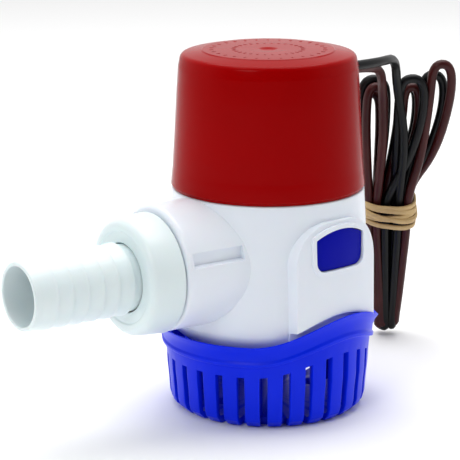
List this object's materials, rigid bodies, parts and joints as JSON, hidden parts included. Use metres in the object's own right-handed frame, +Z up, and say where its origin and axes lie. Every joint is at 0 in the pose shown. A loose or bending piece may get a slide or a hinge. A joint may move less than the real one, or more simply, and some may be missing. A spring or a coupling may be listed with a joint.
{
  "type": "bilge pump",
  "caption": "Small submersible centrifugal bilge pump: red motor cover, white body with a side hose barb, blue clip-on strainer base and tied two-wire lead.",
  "frame": {"origin": "middle of the strainer base's flat underside, on the rotor's axis", "axes": "+Z up along the rotor's axis; -X along the discharge; release buttons face about -Y (front) and +Y (back), 6.5 degrees anticlockwise of them; the leads leave on the +X side"},
  "size_m": [0.1588, 0.0664, 0.099],
  "materials": {
    "blue_plastic": "satin",
    "white_plastic": "satin",
    "fitting_plastic": "satin",
    "red_plastic": "gloss",
    "seal_rubber": "matte",
    "can_steel": "satin",
    "magnet_ferrite": "matte",
    "core_steel": "satin",
    "copper_wire": "gloss",
    "commutator_copper": "satin",
    "shaft_steel": "polished",
    "bush_bronze": "satin",
    "end_plastic": "matte",
    "carbon": "matte",
    "impeller_plastic": "satin",
    "black_wire": "satin",
    "brown_wire": "satin",
    "hank_wire": "satin",
    "tan_rubber": "satin"
  },
  "bodies": {
    "housing": {"strainer_base": "blue_plastic", "pump_body": "white_plastic", "hose_barb": "fitting_plastic", "motor_cap": "red_plastic", "cap_seal": "seal_rubber", "cable_grommet": "seal_rubber", "discharge_gasket": "seal_rubber", "shaft_seal": "seal_rubber", "motor_can": "can_steel", "magnet_right": "magnet_ferrite", "magnet_left": "magnet_ferrite", "lower_bush": "bush_bronze", "upper_bush": "bush_bronze", "brush_plate": "end_plastic", "brush_right": "carbon", "brush_left": "carbon", "inner_lead_black": "black_wire", "inner_lead_brown": "brown_wire", "black_lead": "black_wire", "brown_lead": "brown_wire", "lead_hank": "hank_wire", "rubber_band": "tan_rubber"},
    "rotor": {"motor_shaft": "shaft_steel", "armature_core": "core_steel", "winding_lower": "copper_wire", "winding_upper": "copper_wire", "commutator": "commutator_copper", "impeller": "impeller_plastic"},
    "button_front": {"release_button_front": "blue_plastic"},
    "button_back": {"release_button_back": "blue_plastic"},
    "nut": {"discharge_nut": "fitting_plastic"}
  },
  "joints": [
    {"name": "rotor_spin", "type": "hinge", "parent": "housing", "child": "rotor", "pos_m": [0, 0, 0.06], "axis": [0, 0, 1], "continuous": true},
    {"name": "button_front_press", "type": "slide", "parent": "housing", "child": "button_front", "axis": [-0.1132, 0.9936, 0], "range_m": [0, 0.0018], "stiffness_N_per_m": 900},
    {"name": "button_back_press", "type": "slide", "parent": "housing", "child": "button_back", "axis": [0.1132, -0.9936, 0], "range_m": [0, 0.0018], "stiffness_N_per_m": 900},
    {"name": "nut_turn", "type": "hinge", "parent": "housing", "child": "nut", "pos_m": [-0.044, -0.0015, 0.0432], "axis": [-1, 0, 0], "range_deg": [0, 90]}
  ]
}
